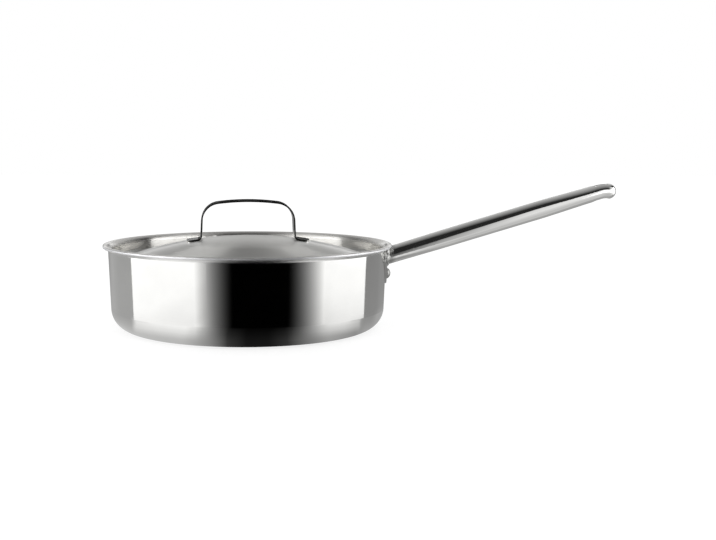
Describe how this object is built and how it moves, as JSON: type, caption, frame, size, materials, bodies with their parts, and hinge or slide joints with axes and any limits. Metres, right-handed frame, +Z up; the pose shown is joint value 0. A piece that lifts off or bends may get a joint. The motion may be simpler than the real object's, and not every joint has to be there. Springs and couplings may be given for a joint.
{
  "type": "saute pan with lid",
  "caption": "Round straight-sided saute pan of clad steel with a riveted tubular handle and a domed drop-in lid with a strap handle.",
  "frame": {"origin": "centre of the pan's base, on the surface it stands on", "axes": "+Z up, +X along the tubular handle, away from the pan"},
  "size_m": [0.4527, 0.2552, 0.1283],
  "materials": {
    "polished_steel": "polished",
    "core_aluminium": "satin",
    "inner_steel": "polished",
    "bracket_steel": "polished",
    "rivet_steel": "satin",
    "handle_steel": "polished",
    "lid_steel": "satin",
    "strap_steel": "polished"
  },
  "bodies": {
    "pan": {"pan_outer_skin": "polished_steel", "pan_core": "core_aluminium", "pan_inner_skin": "inner_steel", "handle_bracket": "bracket_steel", "handle_rivets": "rivet_steel", "handle_tube": "handle_steel"},
    "lid": {"lid_shell": "lid_steel", "lid_handle": "strap_steel"}
  },
  "joints": [
    {"name": "lid_lift", "type": "slide", "parent": "pan", "child": "lid", "axis": [0, 0, 1], "range_m": [0, 0.15]}
  ]
}
